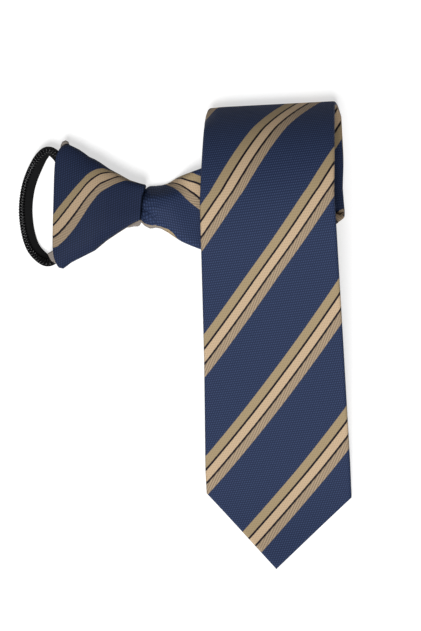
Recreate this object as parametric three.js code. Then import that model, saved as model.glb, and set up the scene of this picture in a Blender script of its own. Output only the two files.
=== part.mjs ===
// A pre-tied necktie on a zipper neck loop, laid on a flat surface.
// The knot lies on its back with the neck loop to its left. The blade leaves the knot to the right, turns
// under itself at a diagonal crease, runs up, rolls over in a soft loop and comes down in front to its tip.
// Millimetres, +Z up. X runs from the neck loop to the blade, Y from the tip to the loop of the fold.
// The shapes are written in the tie's own frame, whose origin is the middle of the knot's narrow end.
import * as THREE from "three";

// Cloth and gaps
const cloth = 2.4; // blade: twill folded round a woollen interlining
const knotWall = 1.8;
const gap = 0.3; // between pieces that touch
const hem = 0.3; // clearance of a layer over the one below

// Blade
const tipWidth = 73;
const bladeLength = 395; // cloth from the tip to the knot
const frontLength = 230.4; // tip to the outside of the fold, seen from above
const foldHeight = 40; // middle of the cloth at the top of the fold
const foldAbove = 48.6; // outside of the fold above the knot's axis
const bladeAcross = 64.3; // knot's narrow end to the middle of the fold
const foldTilt = 3; // degrees
const tipDepthLeft = 40;
const tipDepthRight = 34;
const pastCorners = 12; // cloth behind the tip's corners in which its rows turn straight
const apexOffset = -3.3;

// Crease and strip
const backLength = 82; // outside of the fold to the middle of the crease, along the cloth
const creaseTilt = 37; // degrees
const stripRise = 4.1; // how far the strip stands higher at the knot than over the crease
const tuck = 4; // strip inside the knot
const tuckHalfWidth = 6.9;
const curlRadius = 2.15; // edges of the strip where they roll under

// Knot
const knotLength = 44;
const knotHalfWidth = 31;
const knotEndHalfWidth = 9.8;
const knotHeight = 17.5;
const mouthHeight = 13;
const knotEndHeight = 14.2;
const mouthSlant = 0.75; // the mouth's lower end lies further left than its upper end
const endSlant = 1.1; // and so does the narrow end's
const flapReach = 3.6; // back wall past the front one at the mouth's lower corner

// Zipper
const tapeWidth = 6.8;
const tapeThickness = 1.1;
const coilRadius = 0.7;
const sliderLength = 10;
const sliderWidth = 8;
const sliderThickness = 3.4;
const sliderFromMouth = 14;
const chainLength = 100;
const chainWidth = 13.4;
const chainTape = 1;
const chainRidge = 1.6;
const chainRidgeWidth = 3.2;
const stopLength = 3;
const chainFloor = cloth + gap; // the zipped chain lies on the blade's back layer

// Points across the blade, as shares of its half width, closer together where the edges curl
const acrossShares = [0, 0.15, 0.3, 0.41, 0.52, 0.63, 0.74, 0.86, 1];
const across = [...acrossShares.slice(1).reverse().map((u) => -u), ...acrossShares];

const radians = THREE.MathUtils.degToRad;
const { lerp, smoothstep } = THREE.MathUtils;

// The value at x of a column of a table whose rows are in order of the column "at".
function read(table, column, x) {
  let i = 1;
  while (i < table.length - 1 && x > table[i].at) i++;
  const a = table[i - 1];
  const b = table[i];
  return lerp(a[column], b[column], (x - a.at) / (b.at - a.at));
}

// A closed solid from an outer skin and an inner one, each a list of rows of points.
// The rows run from one end to the other. With ring, each row closes on itself.
function solidBetween(outer, inner, ring) {
  const rows = outer.length;
  const columns = outer[0].length;
  const positions = [...outer.flat(), ...inner.flat()].flatMap((p) => [p.x, p.y, p.z]);
  const at = (skin, i, j) => (skin * rows + i) * columns + (j % columns);
  const index = [];
  const quad = (a, b, c, d) => index.push(a, b, c, a, c, d);
  const spans = ring ? columns : columns - 1;
  for (let i = 0; i < rows - 1; i++)
    for (let j = 0; j < spans; j++) {
      quad(at(0, i, j), at(0, i, j + 1), at(0, i + 1, j + 1), at(0, i + 1, j));
      quad(at(1, i, j), at(1, i + 1, j), at(1, i + 1, j + 1), at(1, i, j + 1));
    }
  for (let j = 0; j < spans; j++) {
    quad(at(0, 0, j + 1), at(0, 0, j), at(1, 0, j), at(1, 0, j + 1));
    quad(at(0, rows - 1, j), at(0, rows - 1, j + 1), at(1, rows - 1, j + 1), at(1, rows - 1, j));
  }
  for (let i = 0; i < rows - 1 && !ring; i++) {
    quad(at(0, i, 0), at(0, i + 1, 0), at(1, i + 1, 0), at(1, i, 0));
    quad(at(0, i + 1, spans), at(0, i, spans), at(1, i, spans), at(1, i + 1, spans));
  }
  const geometry = new THREE.BufferGeometry();
  geometry.setAttribute("position", new THREE.Float32BufferAttribute(positions, 3));
  geometry.setIndex(index);
  geometry.computeVertexNormals();
  return geometry;
}

// A sheet of the given thickness about a middle surface.
function sheetSolid(middle, thickness) {
  const rows = middle.length;
  const columns = middle[0].length;
  const along = new THREE.Vector3();
  const over = new THREE.Vector3();
  const offset = (side) =>
    middle.map((row, i) =>
      row.map((point, j) => {
        along.subVectors(middle[Math.min(i + 1, rows - 1)][j], middle[Math.max(i - 1, 0)][j]);
        over.subVectors(row[Math.min(j + 1, columns - 1)], row[Math.max(j - 1, 0)]);
        const normal = over.cross(along).normalize();
        return point.clone().addScaledVector(normal, (side * thickness) / 2);
      }),
    );
  return solidBetween(offset(1), offset(-1), false);
}

// The blade cut flat, in the frame of its fold. "at" is the distance from the tip as a share of bladeLength,
// width a share of tipWidth, and lean how far the middle of the cloth stands to the right, a share of tipWidth.
const flatBlade = [
  { at: 0.0, width: 1.03, lean: -0.01 },
  { at: 0.095, width: 1.0, lean: 0.0 },
  { at: 0.28, width: 0.945, lean: 0.012 },
  { at: 0.48, width: 0.9, lean: 0.016 },
  { at: 0.6236, width: 0.876, lean: 0.08 },
  { at: 0.6566, width: 0.865, lean: 0.127 },
  { at: 0.76, width: 0.838, lean: 0.124 },
  { at: 0.88, width: 0.795, lean: 0.17 },
  { at: 1.0, width: 0.76, lean: 0.22 },
];

// The front of the blade seen from the side: it lies on the surface, lifts, climbs and levels out at the crown.
// Lengths are shares of the run from the tip to the top of the fold, and turn a share of the climb's angle.
const rise = [
  { name: "lies", length: 0.08, turn: 0 },
  { name: "lifts", length: 0.16, turn: 1 },
  { name: "climbs", length: 0.64, turn: 0 },
  { name: "levels", length: 0.12, turn: -1 },
];

// The loop of the fold beyond the crown. Lengths are shares of foldHeight and turns are in degrees.
// A last bend with the radius that is left brings the cloth back to the surface.
const loop = [
  { name: "crown", length: 0.6, turn: -27 },
  { name: "shoulder", length: 0.5, turn: -24 },
  { name: "steep_face", length: 0.33, turn: -12 },
];

const floorLevel = cloth / 2;

// Follows a list of bends from a start, and returns a point for each bend's end.
function follow(bends, start) {
  const ends = [start];
  for (const { length, turn } of bends) {
    const from = ends.at(-1);
    const heading = from.heading + turn;
    const straight = Math.abs(turn) < 1e-9;
    const radius = straight ? 0 : length / turn;
    ends.push({
      s: from.s + length,
      y: from.y + (straight ? length * Math.cos(heading) : radius * (Math.sin(heading) - Math.sin(from.heading))),
      z: from.z + (straight ? length * Math.sin(heading) : radius * (Math.cos(from.heading) - Math.cos(heading))),
      heading,
      bend: { length, turn },
    });
  }
  return ends;
}

// The whole side profile: the climb's angle is found so that the crown reaches foldHeight.
function sideProfile() {
  const loopBends = loop.map(({ length, turn }) => ({ length: length * foldHeight, turn: radians(turn) }));
  const start = { s: 0, y: 0, z: 0, heading: 0 };
  const loopRun = follow(loopBends, start).at(-1);
  const steepness = -loopRun.heading;
  const height = foldHeight - floorLevel;
  const bendRadius = (height + loopRun.z) / (1 + Math.cos(steepness));
  const reach = loopRun.y + bendRadius * (1 - Math.sin(steepness));
  const bottomTurn = Math.PI - steepness;
  const riseBends = (angle, run) =>
    rise.map(({ length, turn }) => ({ length: length * run, turn: turn * angle }));
  const riseEnd = (angle) => follow(riseBends(angle, 1), start).at(-1);
  let low = 0;
  let high = Math.PI / 3;
  for (let i = 0; i < 40; i++) {
    const angle = (low + high) / 2;
    const end = riseEnd(angle);
    if (end.z / end.y < height / (frontLength - reach)) low = angle;
    else high = angle;
  }
  const run = (frontLength - reach) / riseEnd(low).y;
  const bends = [
    ...riseBends(low, run),
    ...loopBends,
    { length: bendRadius * bottomTurn, turn: -bottomTurn },
  ];
  const ends = follow(bends, { ...start, z: floorLevel });
  return { ends, crown: run, outside: ends.at(-2).s + bendRadius * (Math.PI / 2 - steepness), down: ends.at(-1).s };
}
const profile = sideProfile();

// The point and heading at a distance s along the profile.
function profileAt(s) {
  const { ends } = profile;
  const next = ends.findIndex((end) => end.s >= s);
  if (next <= 0) {
    const last = next === 0 ? ends[0] : ends.at(-1);
    return { y: last.y + (s - last.s) * Math.cos(last.heading), z: last.z };
  }
  const { length, turn } = ends[next].bend;
  const share = (s - ends[next - 1].s) / length;
  return follow([{ length: length * share, turn: turn * share }], ends[next - 1]).at(-1);
}

// Directions on the surface, from an angle in degrees.
const direction = (degrees) => new THREE.Vector3(Math.cos(radians(degrees)), Math.sin(radians(degrees)), 0);
const alongFold = direction(foldTilt);
const upBlade = direction(foldTilt + 90);
const alongCrease = direction(creaseTilt);
const beyondCrease = direction(creaseTilt - 90);

const leanAt = (s) => read(flatBlade, "lean", s / bladeLength) * tipWidth;
const halfWidthAt = (s) => (read(flatBlade, "width", s / bladeLength) * tipWidth) / 2;

// Where the tip's point lies: the middle of the cloth passes the outside of the fold at bladeAcross, foldAbove.
const tip = new THREE.Vector3(bladeAcross, foldAbove, 0)
  .addScaledVector(upBlade, -frontLength)
  .addScaledVector(alongFold, -leanAt(profile.outside));

// A point of the flat blade once it is rolled over the fold: a runs across the cloth and s along it.
function overFold(a, s) {
  const { y, z } = profileAt(s);
  return tip.clone().addScaledVector(alongFold, a).addScaledVector(upBlade, y).setZ(z);
}

// The crease's middle, and the radius at which the cloth turns there: the zipped chain lies between the layers.
const creaseMiddle = overFold(leanAt(profile.outside + backLength), profile.outside + backLength);
const creaseRadius = (cloth + 2 * hem + chainRidge + gap / 2) / 2;

// A point of the flat blade once it is laid out. Of the back layer, what lies beyond the crease line turns up
// and back.
function laidOut(a, s) {
  const point = overFold(a, s);
  const beyond = point.clone().sub(creaseMiddle).dot(beyondCrease);
  if (s < profile.down || beyond <= 0) return point;
  const angle = Math.min(beyond / creaseRadius, Math.PI);
  const rest = Math.max(beyond - Math.PI * creaseRadius, 0);
  return point
    .clone()
    .addScaledVector(beyondCrease, creaseRadius * Math.sin(angle) - rest - beyond)
    .setZ(point.z + creaseRadius * (1 - Math.cos(angle)));
}

// A line across the flat blade through the middle of the cloth at s, slanted by an angle in degrees.
function ruling(s, slant) {
  const edge = (side) => {
    let e = s;
    for (let i = 0; i < 12; i++)
      e = s + (leanAt(e) + side * halfWidthAt(e) - leanAt(s)) * Math.tan(radians(slant));
    return { a: leanAt(e) + side * halfWidthAt(e), s: e };
  };
  const left = edge(-1);
  const right = edge(1);
  return across.map((u) => ({ a: lerp(left.a, right.a, (u + 1) / 2), s: lerp(left.s, right.s, (u + 1) / 2) }));
}

// A line across the tip: the pointed end, straightening to a ruling as share goes from 0 to 1.
function tipLine(share, s) {
  return ruling(s, 0).map(({ a }, j) => {
    const u = across[j];
    const depth = Math.abs(u) * (u < 0 ? tipDepthLeft : tipDepthRight);
    const point = a + apexOffset * (1 - Math.abs(u)) * (1 - share);
    return { a: point, s: lerp(depth, s, share) };
  });
}

// Evenly spaced values from a to b, with a left out.
const steps = (a, b, count) => Array.from({ length: count }, (_, i) => lerp(a, b, (i + 1) / count));

// The lines across the flat blade from the tip to just past the crease.
function flatRulings() {
  const straightAt = Math.max(tipDepthLeft, tipDepthRight) + pastCorners;
  const creaseAt = profile.outside + backLength;
  const creaseSlant = 2 * foldTilt - creaseTilt - foldTilt;
  const overRoll = (Math.PI * creaseRadius) / Math.cos(radians(creaseSlant));
  return [
    ...[0, 0.25, 0.5, 0.75].map((share) => tipLine(share, straightAt)),
    ruling(straightAt, 0),
    ...steps(straightAt, profile.crown, 12).map((s) => ruling(s, 0)),
    ...steps(profile.crown, profile.ends.at(-2).s, 9).map((s) => ruling(s, 0)),
    ...steps(profile.ends.at(-2).s, profile.down, 7).map((s) => ruling(s, 0)),
    ...steps(0, 1, 5).map((k) => ruling(lerp(profile.down, creaseAt, k), creaseSlant * smoothstep(k, 0, 1))),
    ...steps(creaseAt, creaseAt + overRoll, 8).map((s) => ruling(s, creaseSlant)),
    ruling(creaseAt + overRoll + cloth, creaseSlant),
  ];
}

// The strip between the crease and the knot. "at" is its place between them, from 0 at the crease to 1 inside
// the knot. reach is its half width seen from above, from the crease's at 0 to the knot's at 1, turn how far its
// cross line has swung from the crease's direction to the knot's, and rise how much of stripRise it has climbed.
// curl is how far its edges have rolled under: they bend up to 0.9 and from there run back to the middle.
const strip = [
  { at: 0.0, reach: 0.0, turn: 0.0, rise: 0.0, curl: 0.0 },
  { at: 0.15, reach: 0.16, turn: 0.3, rise: 0.05, curl: 0.0 },
  { at: 0.3, reach: 0.26, turn: 0.58, rise: 0.3, curl: 0.02 },
  { at: 0.44, reach: 0.375, turn: 0.82, rise: 0.66, curl: 0.1 },
  { at: 0.54, reach: 0.45, turn: 0.95, rise: 0.86, curl: 0.22 },
  { at: 0.63, reach: 0.53, turn: 1.0, rise: 0.96, curl: 0.38 },
  { at: 0.72, reach: 0.67, turn: 1.0, rise: 1.0, curl: 0.6 },
  { at: 0.81, reach: 0.815, turn: 1.0, rise: 1.0, curl: 0.84 },
  { at: 0.86, reach: 0.87, turn: 1.0, rise: 1.0, curl: 0.9 },
  { at: 0.905, reach: 0.88, turn: 1.0, rise: 1.0, curl: 1.0 },
  { at: 0.93, reach: 0.985, turn: 1.0, rise: 1.0, curl: 1.0 },
  { at: 1.0, reach: 1.0, turn: 1.0, rise: 1.0, curl: 1.0 },
];
const stripRows = [
  0.08, 0.16, 0.24, 0.32, 0.4, 0.47, 0.53, 0.58, 0.62, 0.66, 0.7, 0.74, 0.78, 0.82, 0.86, 0.885, 0.905, 0.93, 1,
];
const fullCurl = 0.9;
const pathHandle = 0.35; // of the path's ends, as a share of their distance
const creaseHandle = 0.43;

// The points across the strip at its place "at", from the line where the crease ends to the knot.
function stripLine(at, first) {
  const edge = first.at(-1).clone().sub(first[0]);
  const start = first[0].clone().add(first.at(-1)).multiplyScalar(0.5);
  const end = new THREE.Vector3(-tuck, 0, start.z + stripRise);
  const leave = start.clone().addScaledVector(beyondCrease, -start.distanceTo(end) * creaseHandle);
  const arrive = end.clone().setX(end.x + start.distanceTo(end) * pathHandle);
  const path = new THREE.CubicBezierCurve3(start, leave, arrive, end);
  const middle = path.getPoint(at).setZ(start.z + stripRise * read(strip, "rise", at));
  const over = direction(lerp(creaseTilt, 90, read(strip, "turn", at)));
  const half = lerp(edge.length() / 2, tuckHalfWidth, read(strip, "reach", at));
  const curl = read(strip, "curl", at);
  const curled = Math.PI * Math.min(curl / fullCurl, 1);
  // Up to a quarter turn the bend widens the strip, and past that its outside is cloth thick.
  const bend = (curlRadius + cloth / 2) * Math.sin(Math.min(curled, Math.PI / 2));
  const straight = half - bend;
  const backRun = (straight - gap) * Math.max((curl - fullCurl) / (1 - fullCurl), 0);
  const ribbon = straight + curlRadius * curled + backRun;
  return across.map((u) => {
    const d = Math.abs(u) * ribbon;
    const angle = THREE.MathUtils.clamp((d - straight) / curlRadius, 0, curled);
    const back = Math.max(d - straight - curlRadius * curled, 0);
    const out = Math.min(d, straight) + curlRadius * Math.sin(angle) - back;
    const down = curlRadius * (1 - Math.cos(angle));
    return middle.clone().addScaledVector(over, Math.sign(u) * out).setZ(middle.z - down);
  });
}

function bladeGeometry() {
  const folded = flatRulings().map((line) => line.map(({ a, s }) => laidOut(a, s)));
  const last = folded.at(-1);
  const gathered = stripRows.map((at) => stripLine(at, last));
  return sheetSolid([...folded, ...gathered], cloth);
}

// The knot's cross sections from the mouth, at 0, to the narrow end, at 1. upper and lower are shares of the way
// from knotEndHalfWidth to knotHalfWidth, height a share of knotHeight over the lerped end heights, and square
// the corners' power: 2 is an ellipse.
const knotSections = [
  { at: 0.0, upper: 0.98, lower: 1.01, swell: 0.0, square: 3.2 },
  { at: 0.05, upper: 1.03, lower: 1.04, swell: 0.22, square: 2.8 },
  { at: 0.2, upper: 0.88, lower: 0.9, swell: 0.7, square: 2.4 },
  { at: 0.34, upper: 0.64, lower: 0.75, swell: 0.95, square: 2.4 },
  { at: 0.47, upper: 0.534, lower: 0.61, swell: 1.0, square: 2.5 },
  { at: 0.6, upper: 0.368, lower: 0.39, swell: 0.9, square: 2.7 },
  { at: 0.74, upper: 0.215, lower: 0.2, swell: 0.62, square: 3.2 },
  { at: 0.88, upper: 0.082, lower: 0.05, swell: 0.26, square: 4.2 },
  { at: 1.0, upper: 0.0, lower: 0.0, swell: 0.0, square: 5.0 },
];
const knotSides = 32;
const mouthRound = 3; // how far the mouth's corners are rounded back

// One ring of the knot: inset is the distance inside the outer skin.
function knotRing({ at, upper, lower, swell, square }, inset) {
  const height = lerp(mouthHeight, knotEndHeight, at) + swell * (knotHeight - mouthHeight);
  const power = 2 / square;
  return Array.from({ length: knotSides }, (_, k) => {
    const angle = (2 * Math.PI * k) / knotSides;
    const c = Math.cos(angle);
    const s = Math.sin(angle);
    const half = lerp(knotEndHalfWidth, knotHalfWidth, c > 0 ? upper : lower) - inset;
    const side = Math.sign(c) * Math.abs(c) ** power;
    const lift = Math.sign(s) * Math.abs(s) ** power;
    const flap = Math.exp(-(((angle - radians(205)) / radians(16)) ** 2)) * flapReach;
    const mouth = -knotLength + mouthSlant * side + mouthRound * Math.abs(side) ** 8 - flap;
    return new THREE.Vector3(lerp(mouth, endSlant * side, at), half * side, height / 2 + (height / 2 - inset) * lift);
  });
}

function knotGeometry() {
  return solidBetween(
    knotSections.map((row) => knotRing(row, 0)),
    knotSections.map((row) => knotRing(row, knotWall)),
    true,
  );
}

// The neck tape's route round the loop, from the slider's upper side to its lower one. x is a share of
// knotLength from the narrow end, y a share of knotHalfWidth, z the height of the tape's middle as a share of
// mouthHeight, and roll the angle in degrees at which its outer edge stands up.
const neckRoute = [
  { x: -0.74, y: 0.11, z: 0.462, roll: 0 },
  { x: -0.8, y: 0.36, z: 0.462, roll: 10 },
  { x: -0.88, y: 0.6, z: 0.446, roll: 22 },
  { x: -0.965, y: 0.76, z: 0.431, roll: 32 },
  { x: -1.05, y: 0.84, z: 0.4, roll: 38 },
  { x: -1.13, y: 0.77, z: 0.292, roll: 25 },
  { x: -1.22, y: 0.585, z: 0.162, roll: 8 },
  { x: -1.29, y: 0.345, z: 0.069, roll: 2 },
  { x: -1.325, y: 0.085, z: 0.054, roll: 0 },
  { x: -1.33, y: -0.165, z: 0.054, roll: 0 },
  { x: -1.305, y: -0.44, z: 0.062, roll: 2 },
  { x: -1.25, y: -0.675, z: 0.108, roll: 5 },
  { x: -1.165, y: -0.825, z: 0.208, roll: 14 },
  { x: -1.07, y: -0.9, z: 0.354, roll: 34 },
  { x: -0.98, y: -0.82, z: 0.431, roll: 32 },
  { x: -0.88, y: -0.6, z: 0.446, roll: 22 },
  { x: -0.8, y: -0.36, z: 0.462, roll: 10 },
  { x: -0.74, y: -0.11, z: 0.462, roll: 0 },
];
const routePoint = ({ x, y, z }) => new THREE.Vector3(x * knotLength, y * knotHalfWidth, z * mouthHeight);
const neckCurve = new THREE.CatmullRomCurve3(neckRoute.map(routePoint), false, "centripetal");
const neckSteps = 54;

// A bar swept along the neck route, with its section given as points out from the tape's middle and up.
function alongNeck(section) {
  const rows = [];
  for (let i = 0; i <= neckSteps; i++) {
    const t = i / neckSteps;
    const centre = neckCurve.getPoint(t);
    const tangent = neckCurve.getTangent(t).setZ(0).normalize();
    const outward = new THREE.Vector3(tangent.y, -tangent.x, 0);
    const place = t * (neckRoute.length - 1);
    const before = Math.min(Math.floor(place), neckRoute.length - 2);
    const roll = radians(lerp(neckRoute[before].roll, neckRoute[before + 1].roll, place - before));
    rows.push(
      section.map(([out, up]) =>
        centre
          .clone()
          .addScaledVector(outward, out * Math.cos(roll) - up * Math.sin(roll))
          .add(new THREE.Vector3(0, 0, out * Math.sin(roll) + up * Math.cos(roll))),
      ),
    );
  }
  return barFrom(rows);
}

// A solid bar from rings of points, with flat ends.
function barFrom(rows) {
  const sides = rows[0].length;
  const index = [];
  for (let i = 0; i < rows.length - 1; i++)
    for (let j = 0; j < sides; j++) {
      const a = i * sides + j;
      const b = i * sides + ((j + 1) % sides);
      index.push(a, b, b + sides, a, b + sides, a + sides);
    }
  const last = (rows.length - 1) * sides;
  for (let j = 1; j < sides - 1; j++) {
    index.push(0, j + 1, j);
    index.push(last, last + j, last + j + 1);
  }
  const geometry = new THREE.BufferGeometry();
  const positions = rows.flat().flatMap((p) => [p.x, p.y, p.z]);
  geometry.setAttribute("position", new THREE.Float32BufferAttribute(positions, 3));
  geometry.setIndex(index);
  geometry.computeVertexNormals();
  return geometry;
}

// The tape's section: flat, with its long edges rounded.
function tapeSection() {
  const half = tapeWidth / 2;
  const thick = tapeThickness / 2;
  const round = thick * 0.7;
  return [
    [half, thick - round],
    [half, round - thick],
    [half - round, -thick],
    [round - half, -thick],
    [-half, round - thick],
    [-half, thick - round],
    [round - half, thick],
    [half - round, thick],
  ];
}

// The coil of teeth lies on the tape's outer edge.
function coilSection() {
  const sides = 6;
  const out = tapeWidth / 2 - coilRadius;
  const up = tapeThickness / 2 + coilRadius + gap;
  return Array.from({ length: sides }, (_, k) => {
    const angle = (-2 * Math.PI * (k + 0.5)) / sides;
    return [out + coilRadius * Math.cos(angle), up + coilRadius * Math.sin(angle)];
  });
}

// The slider seen from above: wide at its two shoulders, narrow where the zipped chain leaves it.
function sliderGeometry() {
  const half = sliderWidth / 2;
  const tail = chainRidgeWidth * 0.9;
  const outline = new THREE.Shape();
  outline.moveTo(0, half * 0.85);
  outline.quadraticCurveTo(sliderLength * 0.1, half, sliderLength * 0.3, half);
  outline.lineTo(sliderLength, tail);
  outline.lineTo(sliderLength, -tail);
  outline.lineTo(sliderLength * 0.3, -half);
  outline.quadraticCurveTo(sliderLength * 0.1, -half, 0, -half * 0.85);
  outline.closePath();
  return new THREE.ExtrudeGeometry(outline, { depth: sliderThickness, bevelEnabled: false, curveSegments: 4 });
}

// The zipped chain's section: two tapes edge to edge, with the meshed coils as a ridge on top.
function chainGeometry() {
  const half = chainWidth / 2;
  const ridge = chainRidgeWidth / 2;
  const section = new THREE.Shape();
  section.moveTo(-half, 0);
  section.lineTo(half, 0);
  section.lineTo(half, chainTape);
  section.lineTo(ridge, chainTape);
  section.lineTo(ridge * 0.7, chainRidge);
  section.lineTo(-ridge * 0.7, chainRidge);
  section.lineTo(-ridge, chainTape);
  section.lineTo(-half, chainTape);
  section.closePath();
  return new THREE.ExtrudeGeometry(section, { depth: chainLength, bevelEnabled: false });
}

const navyTwill = new THREE.MeshStandardMaterial({ color: 0x34405e, roughness: 0.72, metalness: 0 });
const knotTwill = new THREE.MeshStandardMaterial({ color: 0x303a56, roughness: 0.72, metalness: 0 });
const blackTape = new THREE.MeshStandardMaterial({ color: 0x141414, roughness: 0.85, metalness: 0 });
const blackNylon = new THREE.MeshStandardMaterial({ color: 0x1c1c1e, roughness: 0.4, metalness: 0 });
const darkMetal = new THREE.MeshStandardMaterial({ color: 0x3a3a3d, roughness: 0.35, metalness: 1 });

const laid = new THREE.Group();
function place(name, geometry, material, x = 0, y = 0, z = 0) {
  const mesh = new THREE.Mesh(geometry, material);
  mesh.name = name;
  mesh.position.set(x, y, z);
  laid.add(mesh);
  return mesh;
}

place("blade", bladeGeometry(), navyTwill);
place("knot", knotGeometry(), knotTwill);
place("neck_tape", alongNeck(tapeSection()), blackTape);
place("neck_coil", alongNeck(coilSection()), blackNylon);
const sliderAt = -knotLength + sliderFromMouth;
place("zipper_slider", sliderGeometry(), darkMetal, sliderAt, 0, chainFloor + chainRidge + gap);
const chainAt = sliderAt + gap;
place("zipper_chain", chainGeometry(), blackTape, chainAt, 0, chainFloor).rotation.set(Math.PI / 2, Math.PI / 2, 0);
const stop = new THREE.BoxGeometry(stopLength, chainRidgeWidth * 1.5, chainRidge);
place("bottom_stop", stop, darkMetal, chainAt + chainLength + gap + stopLength / 2, 0, chainFloor + chainRidge / 2);

// The part's origin is the bottom centre of the whole.
const box = new THREE.Box3().setFromObject(laid);
laid.position.set(-(box.min.x + box.max.x) / 2, -(box.min.y + box.max.y) / 2, 0);
const tie = new THREE.Group();
tie.add(laid);

export default tie;
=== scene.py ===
"""Dresses the zipper tie: striped twill blade and knot, black zipper loop, floor, light and camera."""

import math

import bmesh
import bpy
import numpy as np
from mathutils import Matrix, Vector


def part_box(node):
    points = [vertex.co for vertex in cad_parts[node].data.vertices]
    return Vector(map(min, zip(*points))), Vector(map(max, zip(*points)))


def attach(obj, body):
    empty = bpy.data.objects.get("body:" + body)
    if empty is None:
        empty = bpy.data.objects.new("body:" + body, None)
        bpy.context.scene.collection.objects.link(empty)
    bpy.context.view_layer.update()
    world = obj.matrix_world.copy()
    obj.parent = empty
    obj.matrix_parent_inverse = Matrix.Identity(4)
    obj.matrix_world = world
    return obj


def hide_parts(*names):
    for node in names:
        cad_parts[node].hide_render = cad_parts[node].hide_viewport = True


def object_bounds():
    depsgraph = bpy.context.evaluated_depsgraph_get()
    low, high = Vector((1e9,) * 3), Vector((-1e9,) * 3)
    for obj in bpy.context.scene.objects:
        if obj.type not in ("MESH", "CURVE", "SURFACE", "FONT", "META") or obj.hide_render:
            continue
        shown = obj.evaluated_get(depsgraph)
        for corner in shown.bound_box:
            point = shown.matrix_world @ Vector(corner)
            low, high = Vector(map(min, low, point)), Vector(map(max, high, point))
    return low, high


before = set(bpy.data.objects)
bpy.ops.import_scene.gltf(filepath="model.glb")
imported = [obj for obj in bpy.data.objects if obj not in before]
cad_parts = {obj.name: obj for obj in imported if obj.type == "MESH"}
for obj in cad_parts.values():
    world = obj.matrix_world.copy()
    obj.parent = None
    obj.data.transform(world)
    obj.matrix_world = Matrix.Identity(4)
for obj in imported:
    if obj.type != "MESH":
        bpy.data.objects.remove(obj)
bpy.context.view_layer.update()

UP = np.array([0, 0, 1.0])

# The tie's own measures, in millimetres, as in the part's source
CLOTH = 2.4
GAP = 0.3
HEM = 0.3
TIP_WIDTH = 73.0
BLADE_LENGTH = 395.0
FRONT_LENGTH = 230.4
FOLD_HEIGHT = 40.0
FOLD_ABOVE = 48.6
BLADE_ACROSS = 64.3
FOLD_TILT = 3.0
TIP_DEPTH_LEFT = 40.0
TIP_DEPTH_RIGHT = 34.0
PAST_CORNERS = 12.0
APEX_OFFSET = -3.3
BACK_LENGTH = 82.0
CREASE_TILT = 37.0
STRIP_RISE = 4.1
TUCK = 4.0
TUCK_HALF_WIDTH = 6.9
CURL_RADIUS = 2.15
KNOT_LENGTH = 44.0
KNOT_HALF_WIDTH = 31.0
KNOT_END_HALF_WIDTH = 9.8
KNOT_HEIGHT = 17.5
MOUTH_HEIGHT = 13.0
KNOT_END_HEIGHT = 14.2
MOUTH_SLANT = 0.75
MOUTH_ROUND = 3.0
TAPE_WIDTH = 6.8
TAPE_THICKNESS = 1.1
SLIDER_FROM_MOUTH = 14.0
CHAIN_WIDTH = 13.4
CHAIN_RIDGE = 1.6
CHAIN_FLOOR = CLOTH + GAP

# Where the tie's own frame lies in the row's frame: the zipped chain's lowest corner gives the shift
CHAIN_CORNER = np.array([SLIDER_FROM_MOUTH - KNOT_LENGTH + GAP, -CHAIN_WIDTH / 2, CHAIN_FLOOR])
SHIFT = np.array(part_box("zipper_chain")[0]) * 1000 - CHAIN_CORNER

# The blade cut flat: share of its length, width and lean as shares of the tip's width
FLAT_BLADE = np.array([
    [0.0, 1.03, -0.01],
    [0.095, 1.0, 0.0],
    [0.28, 0.945, 0.012],
    [0.48, 0.9, 0.016],
    [0.6236, 0.876, 0.08],
    [0.6566, 0.865, 0.127],
    [0.76, 0.838, 0.124],
    [0.88, 0.795, 0.17],
    [1.0, 0.76, 0.22],
])
WIDTH, LEAN = 1, 2

# The front's rise: share of its run and turn. The loop: share of the fold's height and turn in degrees
RISE = [(0.08, 0), (0.16, 1), (0.64, 0), (0.12, -1)]
LOOP = [(0.6, -27), (0.5, -24), (0.33, -12)]
HALVINGS = 40  # steps in the search for the rise's angle

# The strip to the knot: place, reach, turn, lift and curl
STRIP = np.array([
    [0.0, 0.0, 0.0, 0.0, 0.0],
    [0.15, 0.16, 0.3, 0.05, 0.0],
    [0.3, 0.26, 0.58, 0.3, 0.02],
    [0.44, 0.375, 0.82, 0.66, 0.1],
    [0.54, 0.45, 0.95, 0.86, 0.22],
    [0.63, 0.53, 1.0, 0.96, 0.38],
    [0.72, 0.67, 1.0, 1.0, 0.6],
    [0.81, 0.815, 1.0, 1.0, 0.84],
    [0.86, 0.87, 1.0, 1.0, 0.9],
    [0.905, 0.88, 1.0, 1.0, 1.0],
    [0.93, 0.985, 1.0, 1.0, 1.0],
    [1.0, 1.0, 1.0, 1.0, 1.0],
])
REACH, TURN, LIFT, CURL = 1, 2, 3, 4
FULL_CURL = 0.9
PATH_HANDLE = 0.35
CREASE_HANDLE = 0.43

# The woven stripes: their period in millimetres, and a group's width, lines and edges as shares of it
STRIPE_PERIOD = 61.2
STRIPE_SHARE = 0.345
LINE_SHARE = 0.0128  # half a thin line's width
LOWER_LINE = 0.107
UPPER_LINE = 0.2295

# How the stripes run: distance along the cloth, slope across it, and the first stripe's place
STRIPE_RUN = np.array([
    [0.0, 1.104, 19.76],
    [50.0, 1.131, 18.95],
    [100.0, 1.158, 19.3],
    [145.0, 1.173, 18.9],
    [185.0, 1.152, 16.4],
    [215.0, 1.1, 20.6],
    [230.0, 1.05, 20.0],
])
SLOPE, START = 1, 2


def read(table, column, at):
    """The value of a table's column where its first column is at."""
    return np.interp(at, table[:, 0], table[:, column])


def smooth(x, low, high):
    """0 up to low, 1 from high on, and a smooth step between."""
    t = np.clip((x - low) / (high - low), 0, 1)
    return t * t * (3 - 2 * t)


def fade(x, low, high):
    """1 up to low, 0 from high on, and a smooth step between."""
    return 1 - smooth(x, low, high)


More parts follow.
